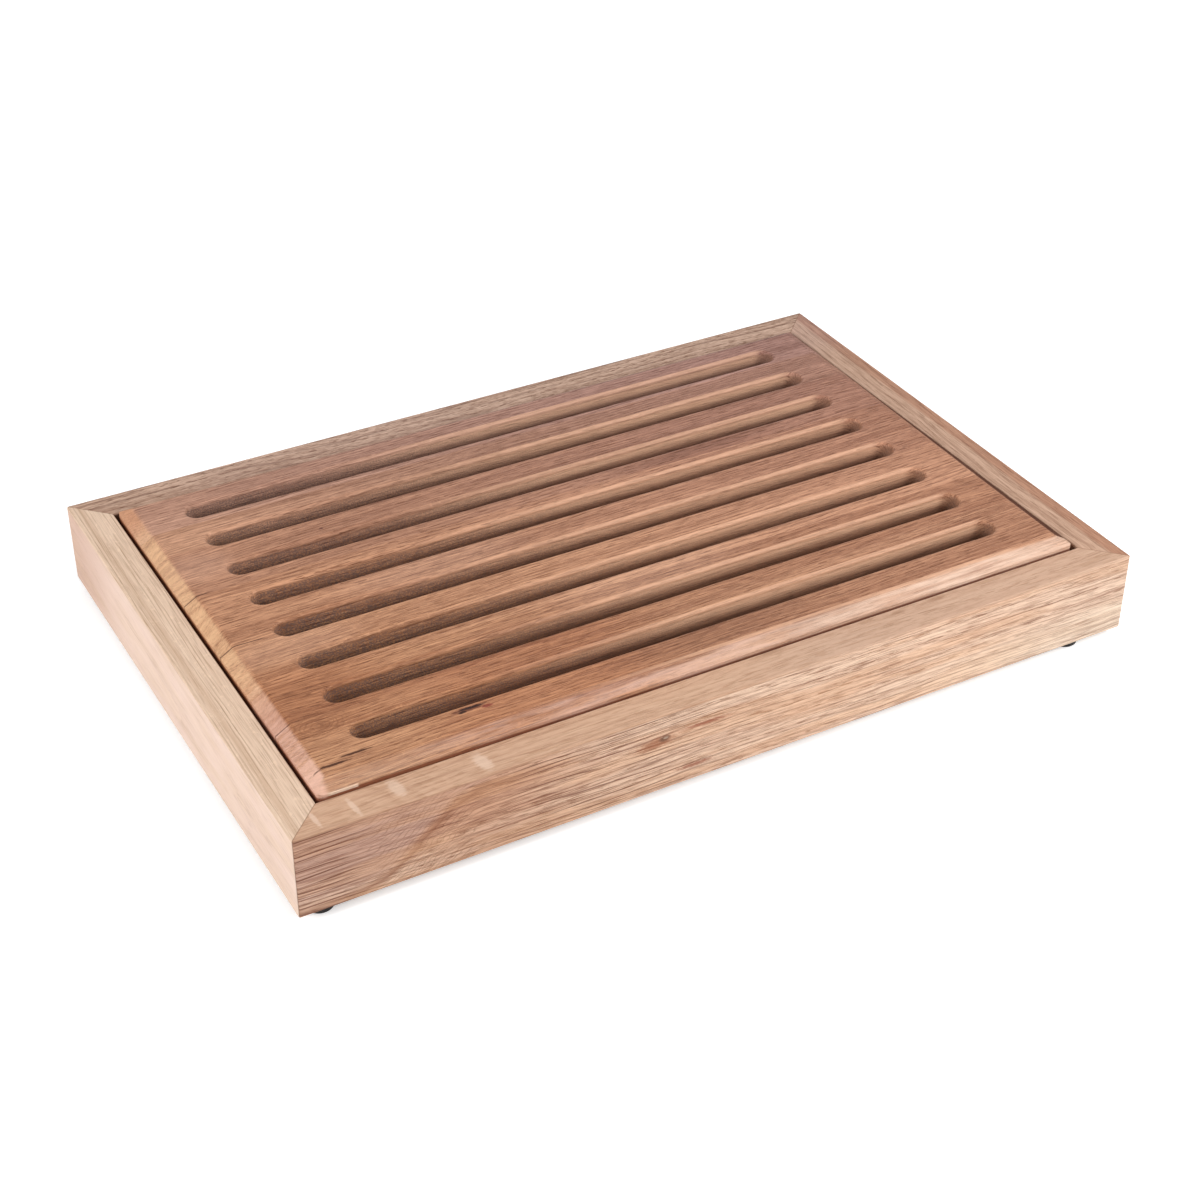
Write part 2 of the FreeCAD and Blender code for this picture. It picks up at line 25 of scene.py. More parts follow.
class Value:
    """A socket in a node tree. Sums written on it add Math nodes."""

    def __init__(self, tree, socket):
        self.tree = tree
        self.socket = socket

    def maths(self, operation, first, second=0.0):
        return self.tree.add("ShaderNodeMath", {"operation": operation}, {0: first, 1: second})

    def __add__(self, other):
        return self.maths("ADD", self, other)

    def __radd__(self, other):
        return self.maths("ADD", other, self)

    def __sub__(self, other):
        return self.maths("SUBTRACT", self, other)

    def __rsub__(self, other):
        return self.maths("SUBTRACT", other, self)

    def __mul__(self, other):
        return self.maths("MULTIPLY", self, other)

    def __rmul__(self, other):
        return self.maths("MULTIPLY", other, self)

    def __truediv__(self, other):
        return self.maths("DIVIDE", self, other)

    def __pow__(self, other):
        return self.maths("POWER", self, other)

    def __abs__(self):
        return self.maths("ABSOLUTE", self)

    def fraction(self):
        """How far it lies above the whole number below it."""
        return self.maths("FRACT", self)


class Tree:
    """The nodes of a material or of the world."""

    def __init__(self, node_tree):
        self.nodes = node_tree.nodes
        self.links = node_tree.links

    def add(self, kind, settings, inputs, output=0):
        """One node: its settings first, then its sockets' values or links."""
        node = self.nodes.new(kind)
        for name, setting in settings.items():
            setattr(node, name, setting)
        for name, value in inputs.items():
            self.feed(node.inputs[name], value)
        return Value(self, node.outputs[output])

    def feed(self, socket, value):
        if isinstance(value, Value):
            self.links.new(value.socket, socket)
        else:
            socket.default_value = value


class Finish(Tree):
    """A material in the making."""

    def __init__(self, name):
        self.material = bpy.data.materials.new(name)
        self.material.use_nodes = True
        super().__init__(self.material.node_tree)
        self.shader = self.nodes["Principled BSDF"]

    def wear(self, **looks):
        """Feeds the shader's own sockets, named with underscores for spaces."""
        for name, value in looks.items():
            self.feed(self.shader.inputs[name.replace("_", " ")], value)

    def step(self, value, low, high):
        """0 below low and 1 above high, with a smooth rise between them."""
        return self.add("ShaderNodeMapRange", {"interpolation_type": "SMOOTHSTEP"},
                        {"Value": value, "From Min": low, "From Max": high})

    def fall(self, value, low, high):
        """1 below low and 0 above high."""
        return 1 - self.step(value, low, high)

    def clamp(self, value):
        """Held between 0 and 1."""
        return self.add("ShaderNodeClamp", {}, {"Value": value})

    def blend(self, share, first, second, how="MIX"):
        """first where share is 0, second where it is 1."""
        return self.add("ShaderNodeMix", {"data_type": "RGBA", "blend_type": how},
                        {0: share, 6: first, 7: second}, 2)

    def noise(self, place, sizes, shift=(0, 0, 0), detail=2.0, roughness=0.5):
        """Clouds of about those sizes, from 0 to 1 and mostly near a half."""
        scaled = self.add("ShaderNodeVectorMath", {"operation": "MULTIPLY_ADD"},
                          {0: place, 1: [1 / size for size in sizes], 2: shift})
        return self.add("ShaderNodeTexNoise", {},
                        {"Vector": scaled, "Scale": 1.0, "Detail": detail, "Roughness": roughness})


def paint(red, green, blue):
    """A colour as a screen shows it, 0 to 255, turned to the light it stands for."""
    channels = []
    for channel in (red, green, blue):
        share = channel / 255
        channels.append(share / 12.92 if share <= 0.04045 else ((share + 0.055) / 1.055) ** 2.4)
    return (*channels, 1.0)


class Oak(Finish):
    """A piece sawn from an oak log, in millimetres.

    The grain runs along X or Y. heart is where the log's middle passes below the piece, across
    the grain and up, and drift is how far it wanders across and up in each millimetre along.
    """

    def __init__(self, name, light, dark, heart, drift=(0, 0), grain="X", log=0.0, ring=1.7,
                 wander=3.0, bends=(), lines=1.0, pores=1.0, bands=1.0, fibres=1.0, rays=0.3, length=1.0):
        super().__init__(name)
        mm = self.add("ShaderNodeVectorMath", {"operation": "SCALE"},
                      {0: self.add("ShaderNodeTexCoord", {}, {}, "Object"), "Scale": 1000.0})
        self.x = self.add("ShaderNodeSeparateXYZ", {}, {0: mm}, "X")
        self.y = self.add("ShaderNodeSeparateXYZ", {}, {0: mm}, "Y")
        self.up = self.add("ShaderNodeSeparateXYZ", {}, {0: mm}, "Z")
        self.along, self.across = (self.x, self.y) if grain == "X" else (self.y, self.x)
        self.place = self.add("ShaderNodeCombineXYZ", {},
                              {0: self.along + log, 1: self.across + log / 7, 2: self.up})

        # The log bends a little all along, and more where the grain goes round a knot.
        sway = self.noise(self.place, (160, 70, 70), detail=1.0)
        roll = self.noise(self.place, (130, 60, 60), (31, 7, 3), detail=1.0)
        out = self.across - heart[0] - self.along * drift[0] + (sway - 0.5) * (2 * wander)
        rise = self.up - heart[1] - self.along * drift[1] + (roll - 0.5) * (2 * wander)
        self.straight = (out * out + rise * rise) ** 0.5
        turn = out.maths("ARCTAN2", out, rise) * math.hypot(50, heart[1])
        self.fibres = self.add("ShaderNodeCombineXYZ", {}, {0: self.along + log, 1: turn, 2: self.straight})
        for start, end, lift in bends:
            rise = rise + self.fall(self.along, start, end) * lift
        radius = (out * out + rise * rise) ** 0.5
        self.wood = self.add("ShaderNodeCombineXYZ", {}, {0: self.along + log, 1: turn, 2: radius})

        # Each year begins with a row of open pores and ends in dense wood.
        wobble = self.noise(self.wood, (70, 9, 3), (5, 0, 0))
        years = radius / ring + (wobble - 0.5) * 1.3
        year = years.fraction()
        self.early = (1 - year) ** 2.2

        band = self.noise(self.wood, (240, 24, 5), (11, 3, 0))
        line = self.noise(self.fibres, (42 * length, 5, 1.6), (2, 9, 1), roughness=0.6)
        fibre = self.noise(self.fibres, (9 * length, 0.7, 0.28), (7, 1, 4), roughness=0.7)
        pore = self.noise(self.fibres, (5 * length, 0.6, 0.48), (3, 5, 8), detail=1.0)
        ray = self.noise(self.fibres, (3.0, 0.4, 6), (0, 2, 6), detail=1.0)
        self.lines = self.step(line, 0.36, 0.58) * self.early * lines
        self.pores = self.step(pore, 0.52, 0.62) * (0.35 + 0.65 * self.early) * pores
        self.rays = self.step(ray, 0.60, 0.74) * rays

        tone = 0.66 + (band - 0.5) * (2.2 * bands) + (fibre - 0.5) * (3.2 * fibres) + (line - 0.5) * 0.8
        self.tone = self.clamp(tone)
        line_color = [0.58 * dark[0], 0.46 * dark[1], 0.38 * dark[2], 1.0]
        pore_color = [0.50 * dark[0], 0.42 * dark[1], 0.36 * dark[2], 1.0]
        ray_color = [min(1.0, 1.15 * light[0]), min(1.0, 1.15 * light[1]), min(1.0, 1.12 * light[2]), 1.0]
        self.color = self.blend(self.tone, dark, light)
        self.tint(self.clamp(self.lines), line_color)
        self.tint(self.clamp(self.pores), pore_color)
        self.tint(self.rays, ray_color)
        self.height = (fibre - 0.5) * 0.5 - self.pores - self.lines * 0.4
        self.rough = 0.50 + self.pores * 0.2 - self.rays * 0.1 + (line - 0.5) * 0.2

    def tint(self, share, color, how="MIX"):
        self.color = self.blend(share, self.color, color, how)

    def band(self, value, low, high, soft):
        """1 between low and high, fading over soft at each side."""
        return self.step(value, low - soft, low + soft) * self.fall(value, high - soft, high + soft)

    def hairlines(self, share, spacing, color, shift):
        """Thin lines along the grain where rows of pores are cut lengthways, broken here and there."""
        sway = (self.noise(self.place, (110, 30, 14), shift) - 0.5) * 3
        lanes = self.straight / spacing + sway
        off = abs(lanes.fraction() - 0.5) * spacing
        whole = self.step(self.noise(self.fibres, (75, 6, 2.4), shift), 0.43, 0.53)
        line = self.fall(off, 0.12, 0.42) * whole * share
        self.tint(line, color)
        self.height = self.height - line

    def open_grain(self, share, sizes, low, high, color, shift=(0, 0, 0)):
        """Long pores cut open along the face, dark and sunk a little."""
        pore = self.step(self.noise(self.place, sizes, shift), low, high) * share
        self.tint(pore, color)
        self.height = self.height - pore

    def spot(self, across, up, place, size, ragged, edge):
        """1 inside an oval on a face, in millimetres, and 0 outside it."""
        side = (across - place[0]) / size[0]
        rise = (up - place[1]) / size[1]
        reach = (side * side + rise * rise) ** 0.5 + (self.noise(self.place, (2.5, 1.0, 1.0)) - 0.5) * ragged
        return self.fall(reach, 1 - edge, 1 + edge)

    def done(self):
        """Joins the colour, roughness and surface to the shader."""
        bump = self.add("ShaderNodeBump", {}, {"Strength": 0.6, "Distance": 0.0003, "Height": self.height})
        self.wear(Base_Color=self.color, Roughness=self.rough, Normal=bump, Specular_IOR_Level=0.25)
        return self.material


def lay_on(node, material):
    parts[node].data.materials.clear()
    parts[node].data.materials.append(material)


rail_top = 51
opening_x, opening_y = 220, 140


def upper_face(oak):
    """1 on a rail's upper face and 0 down its sides."""
    return oak.step(oak.up, rail_top - 1.4, rail_top - 0.4)


def mark_joints_and_inner_shade(oak):
    """The thin dark glue line down each mitre, and painted shade on the inner faces, which stand in the gaps.
    """
    off = abs(abs(oak.x) - abs(oak.y) - (opening_x - opening_y))
    oak.tint(oak.fall(off, 0.1, 0.5) * 0.6, paint(120, 78, 52))
    # Painted shade: the inner faces below the upper face are darkened for the shadow in the gaps.
    inside_x = oak.fall(abs(oak.x), opening_x - 0.1, opening_x + 0.3)
    inside_y = oak.fall(abs(oak.y), opening_y - 0.1, opening_y + 0.3)
    oak.tint(inside_x * inside_y * (1 - upper_face(oak)) * 0.8, paint(98, 64, 44))


# The front rail is rift-sawn. Its grain climbs in one steep wave near the left end, it is redder
# beyond the wave, and a small knot sits left of the middle. Pale rays cross its top near the left.
wave_rise = 36  # how far the grain climbs in the wave
front_oak = Oak("oak_front_rail", paint(250, 217, 190), paint(224, 182, 156), heart=(-95, -55),
                drift=(0.0, -0.01), log=300, ring=6.0, bends=((-205, -145, wave_rise),),
                lines=0.35, bands=0.5, fibres=0.42, length=2.0)
front_top = upper_face(front_oak)
face = 1 - front_top

# The wave: hill is how high a line of the grain would lie if it had no wave in it.
sway = (front_oak.noise(front_oak.place, (24, 12, 8), (1, 8, 4)) - 0.5) * 9
hill = front_oak.up + sway + front_oak.fall(front_oak.x, -208, -142) * wave_rise
beyond = front_oak.step(hill, 46, 52) * front_oak.fall(front_oak.x, -150, -120) * face
left_part = front_oak.fall(front_oak.x, -150, -60) * face
reddened = left_part * (0.22 + 0.53 * front_oak.step(front_oak.up, 12, 32))
front_oak.tint(reddened, paint(220, 188, 170), "MULTIPLY")
front_oak.tint(beyond * 0.55, paint(208, 172, 158))
wave = front_oak.band(front_oak.x, -212, -128, 10) * face
crest = front_oak.band(hill, 43, 47, 2.0) * front_oak.fall(front_oak.x, -140, -110) * face
front_oak.tint(crest * 0.6, paint(154, 98, 68))
ripples = (hill / 2.7).fraction()
front_oak.tint(wave * 0.45 * front_oak.band(ripples, 0.40, 0.56, 0.10), paint(138, 84, 58))

# Warm clouds, painted light on the right end, strongest low down, for the light from the front right and from
# the floor, then the open pores and the thin lines.
orange = front_oak.noise(front_oak.place, (120, 12, 9), (3, 1, 6))
front_oak.tint(front_oak.step(orange, 0.46, 0.60) * face * 0.35, paint(226, 172, 130))
# Painted light: the right end of the face is made paler, most of all near its foot.
painted_light_right_end = front_oak.step(front_oak.x, 40, 210) * (0.5 - 0.45 * front_oak.step(front_oak.up, 12, 34))
front_oak.tint(painted_light_right_end * face, paint(255, 236, 212))
front_oak.tint(face * front_oak.step(front_oak.x, 130, 220), paint(246, 248, 250), "MULTIPLY")
front_oak.open_grain(face * 0.2, (60, 2.4, 1.8), 0.54, 0.64, paint(150, 98, 72), (6, 4, 2))
front_oak.open_grain(face * 0.3, (18, 1.3, 1.0), 0.56, 0.61, paint(140, 88, 64), (2, 1, 7))
front_oak.tint(front_top * 0.75, paint(196, 156, 126))
front_oak.tint(front_top * front_oak.step(front_oak.x, -40, 70), paint(242, 243, 248), "MULTIPLY")
calm = (1 - 0.6 * front_oak.step(front_oak.x, -120, 20)) * (1 - wave * 0.6)
front_oak.hairlines((0.25 + 0.6 * face) * calm, 2.6, paint(118, 70, 48), (6, 4, 2))
front_oak.hairlines((0.2 + 0.4 * face) * calm, 1.7, paint(140, 88, 64), (2, 9, 1))
front_oak.hairlines(left_part * (1 - wave * 0.6) * 0.45, 3.4, paint(126, 66, 46), (8, 3, 5))
low_corner = front_oak.fall(front_oak.x, -222, -200) * front_oak.fall(front_oak.up, 14, 24)
front_oak.tint(low_corner * face, paint(48, 44, 42), "ADD")
front_oak.open_grain(front_top * 0.3, (12, 1.2, 1.2), 0.54, 0.64, paint(160, 122, 92), (1, 6, 2))

# The pale rays on top, the knot with its streaks, the worn near arris and three small stains.
lean = front_oak.x + (front_oak.y + 150) * 0.1
for fleck_x, fleck_y, length in ((-225, -150, 1.2), (-206, -151, 1.4), (-183, -148, 3.2), (-140, -150, 3.4)):
    fleck = front_oak.spot(lean, front_oak.y, (fleck_x, fleck_y), (length, 6.5), 1.0, 0.4)
    front_oak.tint(fleck * front_top * 0.55, paint(236, 208, 186))
knot_swirl = front_oak.spot(front_oak.x - front_oak.up, front_oak.up, (-87, 35), (9, 3), 1.2, 0.5) * face
front_oak.tint(knot_swirl * 0.75, paint(164, 102, 70))
for streak_x, streak_z, length in ((-24, 37.6, 12), (-30, 14, 9)):
    streak = front_oak.spot(front_oak.x, front_oak.up, (streak_x, streak_z), (length, 1.1), 1.4, 0.6) * face
    front_oak.tint(streak * 0.8, paint(154, 86, 60))
knot_ring = front_oak.spot(front_oak.x, front_oak.up, (-47, 36.6), (3.0, 1.7), 0.8, 0.4) * face
front_oak.tint(knot_ring * 0.8, paint(112, 78, 60))
knot_core = front_oak.spot(front_oak.x, front_oak.up, (-46.4, 36.7), (1.4, 0.6), 0.4, 0.4) * face
front_oak.tint(knot_core * 0.7, paint(196, 170, 150))
arris = front_oak.band(front_oak.up, 49.9, 50.9, 0.4) * front_oak.fall(front_oak.x, -20, 60)
front_oak.tint(arris * 0.35, paint(168, 116, 86))
for stain_x, stain_y, length in ((125, -142.5, 5), (101, -143.5, 4), (25, -141.5, 7)):
    stain = front_oak.spot(front_oak.x, front_oak.y, (stain_x, stain_y), (length, 1.6), 1.2, 0.6)
    front_oak.tint(stain * front_top * 0.5, paint(150, 112, 86))
mark_joints_and_inner_shade(front_oak)
lay_on("front_rail", front_oak.done())

# The right rail shows a paler band inside and a reddish one along its outer edge.
right_oak = Oak("oak_right_rail", paint(205, 169, 145), paint(174, 136, 112), heart=(262, -40),
                drift=(0.01, 0.0), grain="Y", log=900, ring=1.6,
                lines=0.35, pores=0.6, bands=0.35, fibres=0.6, length=2.6)
right_oak.open_grain(0.25, (26, 1.1, 1.1), 0.55, 0.64, paint(150, 112, 88))
right_oak.hairlines(0.35, 2.0, paint(140, 102, 80), (3, 2, 1))
stripe_sway = (right_oak.noise(right_oak.place, (60, 30, 30), (2, 0, 0)) - 0.5) * 5
right_oak.tint(right_oak.step(right_oak.x + stripe_sway, 231.5, 234.5) * 0.6, paint(214, 178, 158), "MULTIPLY")
right_oak.tint(right_oak.step(right_oak.y, 90, 135) * 0.6, paint(40, 44, 60), "ADD")
mark_joints_and_inner_shade(right_oak)
lay_on("right_rail", right_oak.done())

# The back rail is browner, with more figure, and a little paler left of the middle.
back_oak = Oak("oak_back_rail", paint(204, 170, 148), paint(164, 128, 106), heart=(118, -40),
               drift=(-0.01, 0.0), log=1500, ring=1.5, lines=0.6, bands=0.7)
back_oak.open_grain(0.3, (20, 1.2, 1.2), 0.55, 0.64, paint(128, 94, 76))
back_oak.hairlines(0.45, 2.2, paint(112, 78, 60), (3, 2, 1))
back_oak.tint(back_oak.band(back_oak.x, -180, 0, 40), paint(34, 30, 34), "ADD")
mark_joints_and_inner_shade(back_oak)
lay_on("back_rail", back_oak.done())

# The left rail is the palest: cream on top with a brown streak outside, pinkish on its outer face.
left_oak = Oak("oak_left_rail", paint(231, 204, 180), paint(211, 178, 152), heart=(-330, 20),
               drift=(0.01, 0.0), grain="Y", log=2100, ring=1.5, wander=1.2,
               lines=0.2, pores=0.4, bands=0.15, fibres=0.45, length=3.0)
left_top = upper_face(left_oak)
streak_sway = (left_oak.noise(left_oak.place, (110, 30, 30), (4, 0, 0)) - 0.5) * 5
brown_streak = left_oak.band(left_oak.x + streak_sway, -236.8, -233.4, 1.2)
left_oak.tint(brown_streak * left_top * 0.35, paint(184, 148, 118))
left_oak.open_grain(left_top * 0.3, (30, 1.1, 1.1), 0.56, 0.66, paint(172, 138, 108))
left_oak.hairlines(0.12 + 0.28 * left_top, 1.9, paint(162, 126, 96), (3, 2, 1))
blush = left_oak.noise(left_oak.place, (90, 30, 12), (6, 0, 0), detail=3.0)
left_oak.tint((1 - left_top) * (0.3 + left_oak.step(blush, 0.38, 0.62) * 0.4), paint(238, 212, 200))
left_oak.tint((1 - left_top) * left_oak.step(left_oak.y, 60, 150) * 0.5, paint(214, 190, 176), "MULTIPLY")
left_oak.tint(left_top * left_oak.step(left_oak.y, 80, 140) * 0.6, paint(40, 36, 34), "ADD")
mark_joints_and_inner_shade(left_oak)
lay_on("left_rail", left_oak.done())


# Crumb floor
# A thin oak-faced panel that catches the crumbs. It is cut a little short and slid into the
# rails' grooves before they are glued, so that it can move with the weather.

floor_oak = Oak("oak_floor", paint(214, 178, 140), paint(178, 136, 100), heart=(20, -80),
                drift=(0.05, 0.01), log=2700)
lay_on("crumb_floor", floor_oak.done())


# Ledger strips
# Four planed oak strips, chamfered and glued round the inside of the tray. The slotted board
# lies loose on them, its top six millimetres above the rails.

ledger_light, ledger_dark = paint(216, 180, 142), paint(176, 134, 98)
ledger_long = Oak("oak_ledger_long", ledger_light, ledger_dark, heart=(0, -90), log=3300)
ledger_short = Oak("oak_ledger_short", ledger_light, ledger_dark, heart=(0, -90), grain="Y", log=3600)
lay_on("ledger_front", ledger_long.done())
lay_on("ledger_back", ledger_long.material)
lay_on("ledger_left", ledger_short.done())
lay_on("ledger_right", ledger_short.material)


# Dowels
# Beech pegs, two across each mitre, one above the other. They are glued in blind holes and
# stay out of sight.

for node in parts:
    if node.startswith("dowel_"):
        beech = Oak("beech_" + node, paint(222, 188, 150), paint(198, 158, 120), heart=(0, -200),
                    log=40.0 * len(node), pores=0.1, lines=0.3, rays=0.8)
        lay_on(node, beech.done())


# Feet
# Moulded black rubber buttons with a fine grit, rubbed grey in places. They are stuck under
# the rails with their own adhesive.

rubber = Finish("rubber_foot")
rubber_place = rubber.add("ShaderNodeTexCoord", {}, {}, "Object")
rubber_mm = rubber.add("ShaderNodeVectorMath", {"operation": "SCALE"}, {0: rubber_place, "Scale": 1000.0})
grit = rubber.noise(rubber_mm, (0.35, 0.35, 0.35), detail=3.0)
scuffs = rubber.noise(rubber_mm, (3.0, 3.0, 1.2), detail=3.0)
rubber_color = rubber.blend(rubber.step(scuffs, 0.45, 0.75), paint(34, 32, 33), paint(66, 60, 58))
rubber_bump = rubber.add("ShaderNodeBump", {}, {"Strength": 0.4, "Distance": 0.0001, "Height": grit})
rubber.wear(Base_Color=rubber_color, Roughness=0.62 + (grit - 0.5) * 0.3, Normal=rubber_bump)
for node in parts:
    if node.startswith("foot_"):
        lay_on(node, rubber.material)


# Slotted board
# Seven oak staves glued edge to edge, planed as one blank, then routed with the row of slots,
# bevelled all round and sanded, so the slots and the bevel run on across the glue lines.

board_length = 436
board_end = board_length / 2
board_top = 57
slot_pitch = 31.35
first_slot = -106.925
slot_half_width = 6.5
slot_end = 187.5
board_oaks = {
    "stave_1": dict(light=paint(212, 158, 118), dark=paint(152, 100, 70),
                    heart=(-185, -10), drift=(0.01, 0.01), log=100),
    "stave_2": dict(light=paint(210, 154, 114), dark=paint(150, 98, 68),
                    heart=(-15, -10), drift=(0.01, 0.01), log=700),
    "stave_3": dict(light=paint(222, 166, 126), dark=paint(162, 110, 78),
                    heart=(-100, -10), drift=(0.02, 0.0), log=1300),
    "stave_4": dict(light=paint(214, 158, 120), dark=paint(156, 104, 74),
                    heart=(75, -10), drift=(0.02, 0.0), log=1900),
    "stave_5": dict(light=paint(206, 152, 118), dark=paint(148, 100, 74),
                    heart=(-15, -5), drift=(0.02, 0.0), log=2500),
    "stave_6": dict(light=paint(214, 162, 128), dark=paint(156, 110, 82),
                    heart=(150, 0), drift=(0.02, 0.0), log=3100),
    "stave_7": dict(light=paint(212, 164, 136), dark=paint(158, 114, 92),
                    heart=(60, -5), drift=(0.02, 0.0), log=3700),
}
# Paler and darker clouds in some staves: middle, half length, half width and colour.
paler, darker = paint(64, 58, 54), paint(222, 214, 212)
clouds = {
    "stave_1": ((0, -121, 55, 9, darker), (62, -135, 28, 6, darker)),
    "stave_2": ((0, -62, 50, 9, paler),),
    "stave_3": ((0, -57, 50, 9, paler), (-188, -29, 34, 11, paler)),
    "stave_4": ((-90, 3, 45, 12, paler),),
    "stave_5": ((92, 36, 50, 10, darker), (-202, 60, 18, 12, paler)),
}
# Checks and a knot in the first stave: middle, half length and half width, and colour.
blemishes = (((-205, -125.4), (8.5, 0.8), (60, 24, 10)), ((-192, -122.0), (7.5, 0.75), (60, 24, 10)),
             ((-131, -117.4), (8.5, 1.6), (110, 62, 44)), ((-130, -117.0), (6.5, 0.9), (40, 14, 8)),
             ((-135, -118.6), (2.2, 0.9), (40, 14, 8)), ((-122, -119.4), (2.6, 1.2), (132, 58, 44)))
# The middle of a small burr, across the first and second staves.
burr_x, burr_y = -200, -95
# Glue lines that opened a little at the left end: where each starts and ends, how far in it runs.
open_glue_lines = ((-87.5, -92, -209), (-15.7, -21.6, -193), (35, 30, -203))

for node, wood in board_oaks.items():
    oak = Oak("oak_" + node, pores=0.8, lines=0.5, bands=0.8, fibres=0.7, length=1.7, **wood)
    oak.open_grain(0.24, (9, 0.8, 0.8), 0.56, 0.62, paint(120, 74, 50), (4, 2, 9))
    oak.hairlines(0.24, 1.9, paint(118, 70, 46), (5, 3, 1))

    # The back of the left end is paler and its front browner. Towards the right-hand end and the back the
    # board is painted darker and cooler, as painted shade with a faint painted sheen.
    pale_end = oak.fall(oak.x, -190, -120) * oak.step(oak.y, 20, 60)
    oak.tint(pale_end * 0.75, paint(80, 62, 48), "ADD")
    brown_front = oak.band(oak.x, -150, -30, 30) * oak.fall(oak.y, -95, -60)
    oak.tint(brown_front * 0.5, paint(228, 196, 176), "MULTIPLY")
    # Painted shade and sheen: darker and cooler towards the right and the back.
    painted_shade_and_sheen = 0.6 * oak.step(oak.x, -200, 200) + 0.4 * oak.step(oak.y, -80, 140)
    oak.tint(painted_shade_and_sheen, paint(226, 222, 240), "MULTIPLY")
    brown_end = oak.fall(oak.x, -190, -130) * oak.band(oak.y, -104, -45, 8)
    oak.tint(brown_end, paint(236, 224, 216), "MULTIPLY")
    for cloud_x, cloud_y, length, width, color in clouds.get(node, ()):
        cloud = oak.spot(oak.x, oak.y, (cloud_x, cloud_y), (length, width), 0.8, 0.6)
        oak.tint(cloud * oak.step(oak.up, 51, 53), color, "ADD" if color == paler else "MULTIPLY")

    # The bevel is painted paler than the oiled top, as painted light and sheen: peach at the left end, where
    # the lamp from the left falls, turning pink towards the front, and palest along the right half of the
    # front, where the painted sheen is strongest.
    outside = oak.clamp(oak.step(abs(oak.x), 208, 211) + oak.step(abs(oak.y), 129.4, 131))
    below_top = oak.fall(oak.up, board_top - 1.2, board_top)
    bevel = below_top * outside
    front = oak.fall(oak.y, -132, -130) * oak.step(oak.x, -215, -211)
    left = oak.fall(oak.x, -200, 0)
    peach = oak.blend(oak.step(oak.y, -90, -30), paint(228, 182, 162), paint(228, 184, 142))
    growth = oak.noise(oak.place, (30, 2.6, 7), (8, 0, 0), detail=3.0)
    uneven = 0.66 + (growth - 0.5) * 1.6 + (oak.tone - 0.6) * 0.4
    end_bevel = bevel * left * (1 - front)
    front_bevel = bevel * front
    oak.tint(end_bevel * uneven * (0.85 - 0.6 * oak.step(oak.y, 95, 120)), peach)
    oak.tint(end_bevel * oak.fall(oak.y, -124, -112) * 0.5, paint(236, 190, 168))
    oak.tint(end_bevel * oak.step(oak.y, 100, 122) * 0.4, paint(210, 146, 104))
    # Painted sheen: the front bevel grows paler towards the right.
    oak.tint(front_bevel * uneven * (0.25 + 0.7 * oak.step(oak.x, -100, 150)), paint(226, 194, 172))
    mottled = front_bevel * oak.band(oak.x, -150, 40, 30) * (0.2 + (growth - 0.5) * 1.6)
    oak.tint(mottled, paint(216, 174, 158))

    # Painted shade: the right-hand bevel is painted dark below a line that drops towards the back, and so are
    # the board's upright edges beside the near gaps, where the gaps lie in shadow.
    shade_top = 56.4 - oak.step(oak.y, -110, 100) * 3.6
    shade = bevel * oak.step(oak.x, 205, 210) * (1 - front) * oak.fall(oak.y, 125, 128)
    shade = shade * oak.fall(oak.up - shade_top, -0.9, 0.6) * oak.step(oak.up, 50.6, 52.2)
    oak.tint(shade * 0.9, paint(66, 28, 12))
    oak.rough = oak.rough + shade * 0.4
    # Painted shade on the board's upright edges, deepest where they face the near gaps.
    gap_shade_top = 50.7 + oak.fall(oak.x, -215, -60) * front * 0.9
    gap_shade_color = oak.blend(left, paint(112, 54, 32), paint(150, 84, 56))
    near_edges = oak.clamp(oak.fall(oak.y, -138, -136) + oak.fall(oak.x, -216.5, -215))
    gap_shade_share = 0.15 + 0.7 * oak.step(oak.up, 43.5, 48) * near_edges
    oak.tint(oak.fall(oak.up - gap_shade_top, -0.4, 0.5) * outside * gap_shade_share, gap_shade_color)

    # The cutter left the slots' walls rougher, and sooty at the left end. Painted shade darkens them low down,
    # painted light brightens their upper walls in the right half, and a painted highlight runs along the far
    # rims there.
    behind_slot = ((oak.y - first_slot) / slot_pitch + 0.5).fraction() - 0.5
    from_middle = abs(behind_slot) * slot_pitch
    in_row = oak.fall(abs(oak.x), slot_end + 7.5, slot_end + 8.5) * oak.fall(abs(oak.y), 122, 124)
    in_slot = oak.fall(from_middle, slot_half_width + 0.1, slot_half_width + 1.1) * in_row
    routed = in_slot * oak.fall(oak.up, 53.5, 56.0)
    speckle = oak.noise(oak.place, (0.9, 0.7, 0.7), (3, 3, 3))
    painted_depth_shade = oak.fall(oak.up, 45.5, 54.5)
    right = oak.step(oak.x, -140, 20) * oak.fall(oak.x, 178, 188)
    sooty = 0.75 - 0.65 * oak.step(oak.x, -150, 60) + 0.45 * oak.step(oak.x, 184, 190)
    rounded = in_slot * oak.step(abs(oak.x), slot_end - 4.5, slot_end + 1.5)
    oak.tint(rounded * oak.fall(oak.up, 55.5, 56.5) * 0.6, paint(150, 112, 90))
    # Painted light on the upper walls of the slots in the right half.
    painted_slot_light = right * (1 - painted_depth_shade) * (1 - 0.35 * oak.band(oak.y, -40, 30, 10))
    oak.tint(routed * painted_slot_light * (0.45 + 0.5 * oak.tone), paint(238, 192, 158))
    near_rim = 1 - 0.5 * oak.step(oak.up, 50, 55) * oak.step(oak.x, -170, -120)
    oak.tint(routed * sooty * near_rim * oak.step(speckle, 0.38, 0.60), paint(118, 98, 92))
    # Painted shade, darkest low down in the slots.
    oak.tint(routed * painted_depth_shade * (0.28 + 0.42 * oak.step(oak.x, -170, -20)), paint(76, 50, 40))
